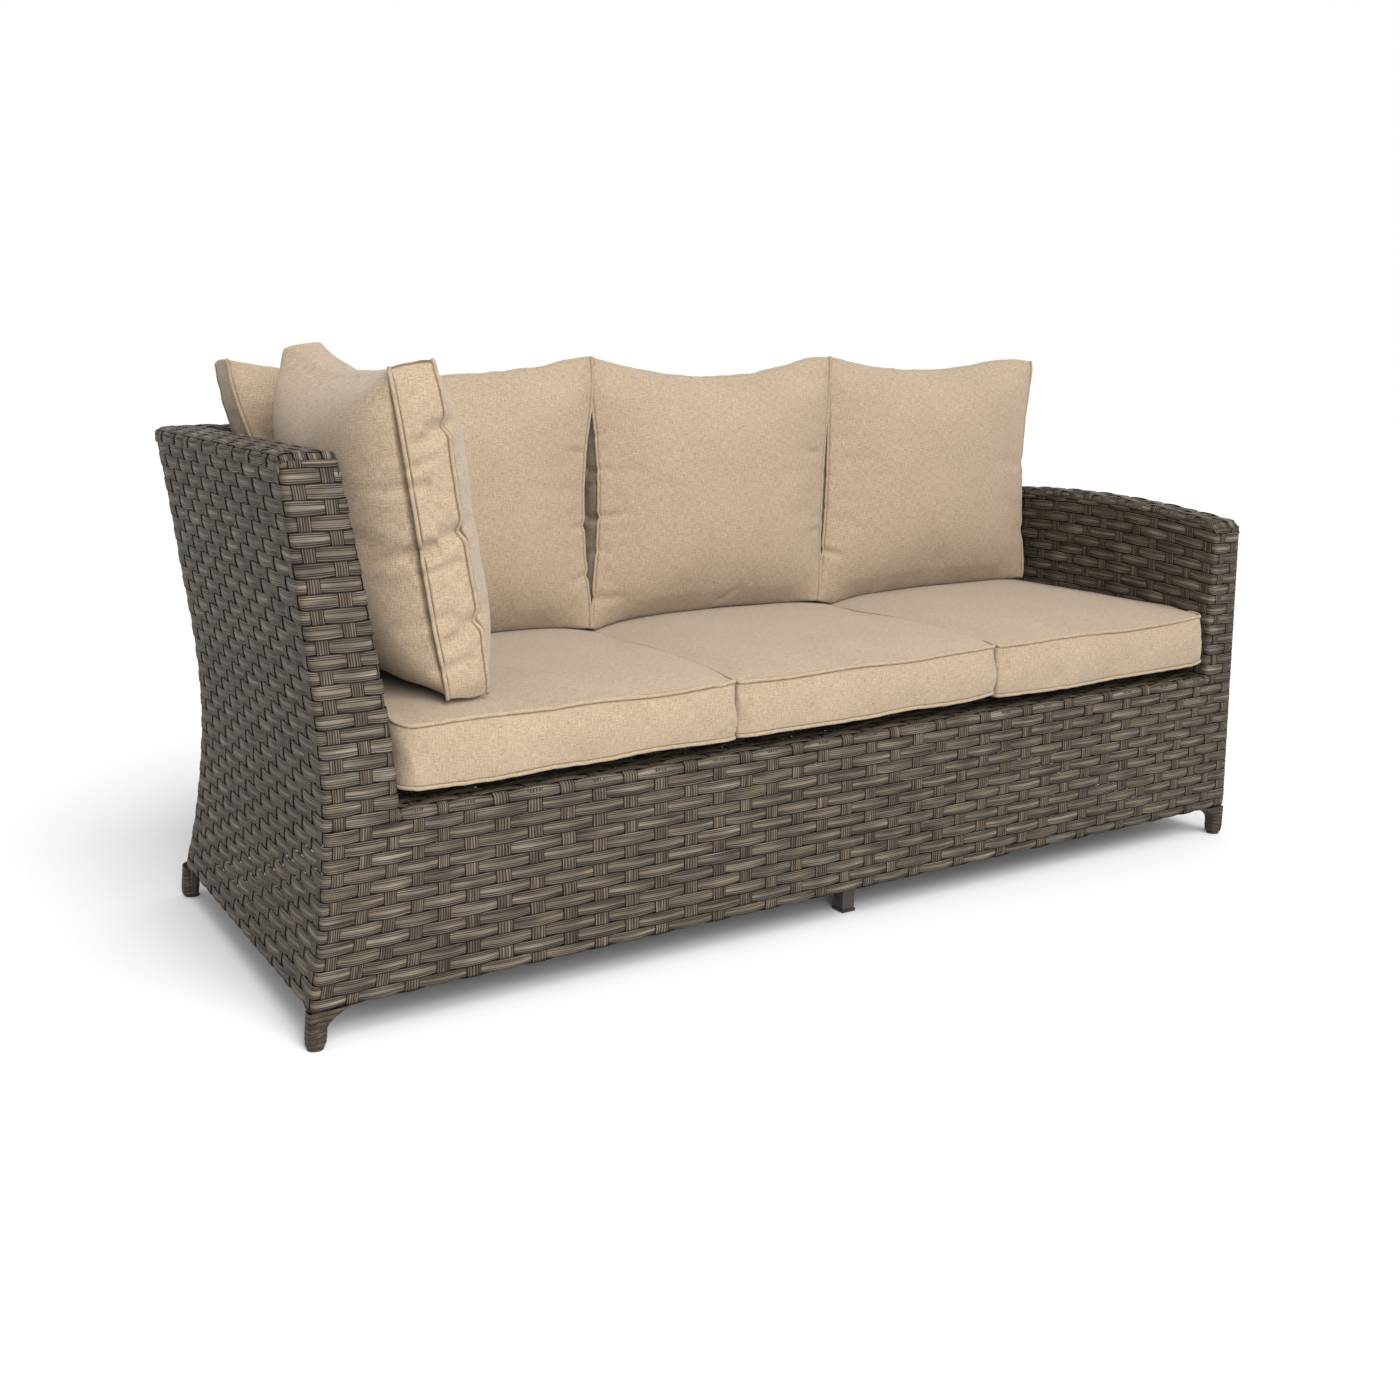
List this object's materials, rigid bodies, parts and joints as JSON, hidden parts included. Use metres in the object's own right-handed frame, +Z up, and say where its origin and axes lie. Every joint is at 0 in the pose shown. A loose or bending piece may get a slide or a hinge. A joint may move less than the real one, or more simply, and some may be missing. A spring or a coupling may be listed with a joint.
{
  "type": "rattan garden sofa",
  "caption": "Woven rattan garden sofa with a tall flared side panel, a low arched arm, loose seat and back cushions and a side cushion.",
  "frame": {"origin": "centre of the bounding box at floor level", "axes": "+X along the seat towards the low arm, +Y from the front to the back, +Z up"},
  "size_m": [1.87, 0.74, 0.9461],
  "materials": {
    "rattan": "flat woven resin strands with fine ridges, grey-brown, satin",
    "frame_steel": "dark powder coat",
    "glide_plastic": "moulded, matte",
    "cushion_fabric": "beige linen-look weave with piped seams"
  },
  "bodies": {
    "sofa_frame": {"left_side_weave": "rattan", "back_weave": "rattan", "arm_weave": "rattan", "front_apron_weave": "rattan", "seat_deck_weave": "rattan", "foot_wrap_front_left": "rattan", "foot_wrap_rear_left": "rattan", "foot_wrap_front_right": "rattan", "foot_wrap_rear_right": "rattan", "left_front_post": "frame_steel", "left_rear_post": "frame_steel", "right_front_post": "frame_steel", "right_rear_post": "frame_steel", "left_inner_front_post": "frame_steel", "left_inner_rear_post": "frame_steel", "arm_inner_front_post": "frame_steel", "arm_inner_rear_post": "frame_steel", "front_bottom_rail": "frame_steel", "rear_bottom_rail": "frame_steel", "left_bottom_rail": "frame_steel", "right_bottom_rail": "frame_steel", "front_seat_rail": "frame_steel", "rear_seat_rail": "frame_steel", "left_seat_rail": "frame_steel", "right_seat_rail": "frame_steel", "rear_belt_rail": "frame_steel", "seat_cross_bar_1": "frame_steel", "seat_cross_bar_2": "frame_steel", "seat_cross_bar_3": "frame_steel", "seat_cross_bar_4": "frame_steel", "seat_cross_bar_5": "frame_steel", "left_top_rail": "frame_steel", "left_inner_top_rail": "frame_steel", "back_top_rail": "frame_steel", "back_inner_top_rail": "frame_steel", "back_end_header": "frame_steel", "left_front_header": "frame_steel", "corner_bend": "frame_steel", "back_outer_post_1": "frame_steel", "back_outer_post_2": "frame_steel", "back_inner_post_1": "frame_steel", "back_inner_post_2": "frame_steel", "arm_top_rail": "frame_steel", "arm_inner_top_rail": "frame_steel", "centre_front_leg": "frame_steel", "centre_rear_leg": "frame_steel", "glide_front_left": "glide_plastic", "glide_rear_left": "glide_plastic", "glide_front_right": "glide_plastic", "glide_rear_right": "glide_plastic", "centre_front_leg_cap": "glide_plastic", "centre_rear_leg_cap": "glide_plastic"},
    "seat_cushion_1": {"seat_cushion_1": "cushion_fabric"},
    "seat_cushion_2": {"seat_cushion_2": "cushion_fabric"},
    "seat_cushion_3": {"seat_cushion_3": "cushion_fabric"},
    "back_cushion_1": {"back_cushion_1": "cushion_fabric"},
    "back_cushion_2": {"back_cushion_2": "cushion_fabric"},
    "back_cushion_3": {"back_cushion_3": "cushion_fabric"},
    "side_cushion": {"side_cushion": "cushion_fabric"}
  },
  "joints": [
    {"name": "seat_cushion_1_pull", "type": "slide", "parent": "sofa_frame", "child": "seat_cushion_1", "axis": [0, -1, 0], "range_m": [0, 0.2]},
    {"name": "seat_cushion_2_pull", "type": "slide", "parent": "sofa_frame", "child": "seat_cushion_2", "axis": [0, -1, 0], "range_m": [0, 0.2]},
    {"name": "seat_cushion_3_pull", "type": "slide", "parent": "sofa_frame", "child": "seat_cushion_3", "axis": [0, -1, 0], "range_m": [0, 0.2]},
    {"name": "back_cushion_1_lift", "type": "slide", "parent": "sofa_frame", "child": "back_cushion_1", "axis": [0, 0, 1], "range_m": [0, 0.25]},
    {"name": "back_cushion_2_lift", "type": "slide", "parent": "sofa_frame", "child": "back_cushion_2", "axis": [0, 0, 1], "range_m": [0, 0.25]},
    {"name": "back_cushion_3_lift", "type": "slide", "parent": "sofa_frame", "child": "back_cushion_3", "axis": [0, 0, 1], "range_m": [0, 0.25]},
    {"name": "side_cushion_lift", "type": "slide", "parent": "sofa_frame", "child": "side_cushion", "axis": [0, 0, 1], "range_m": [0, 0.25]}
  ]
}
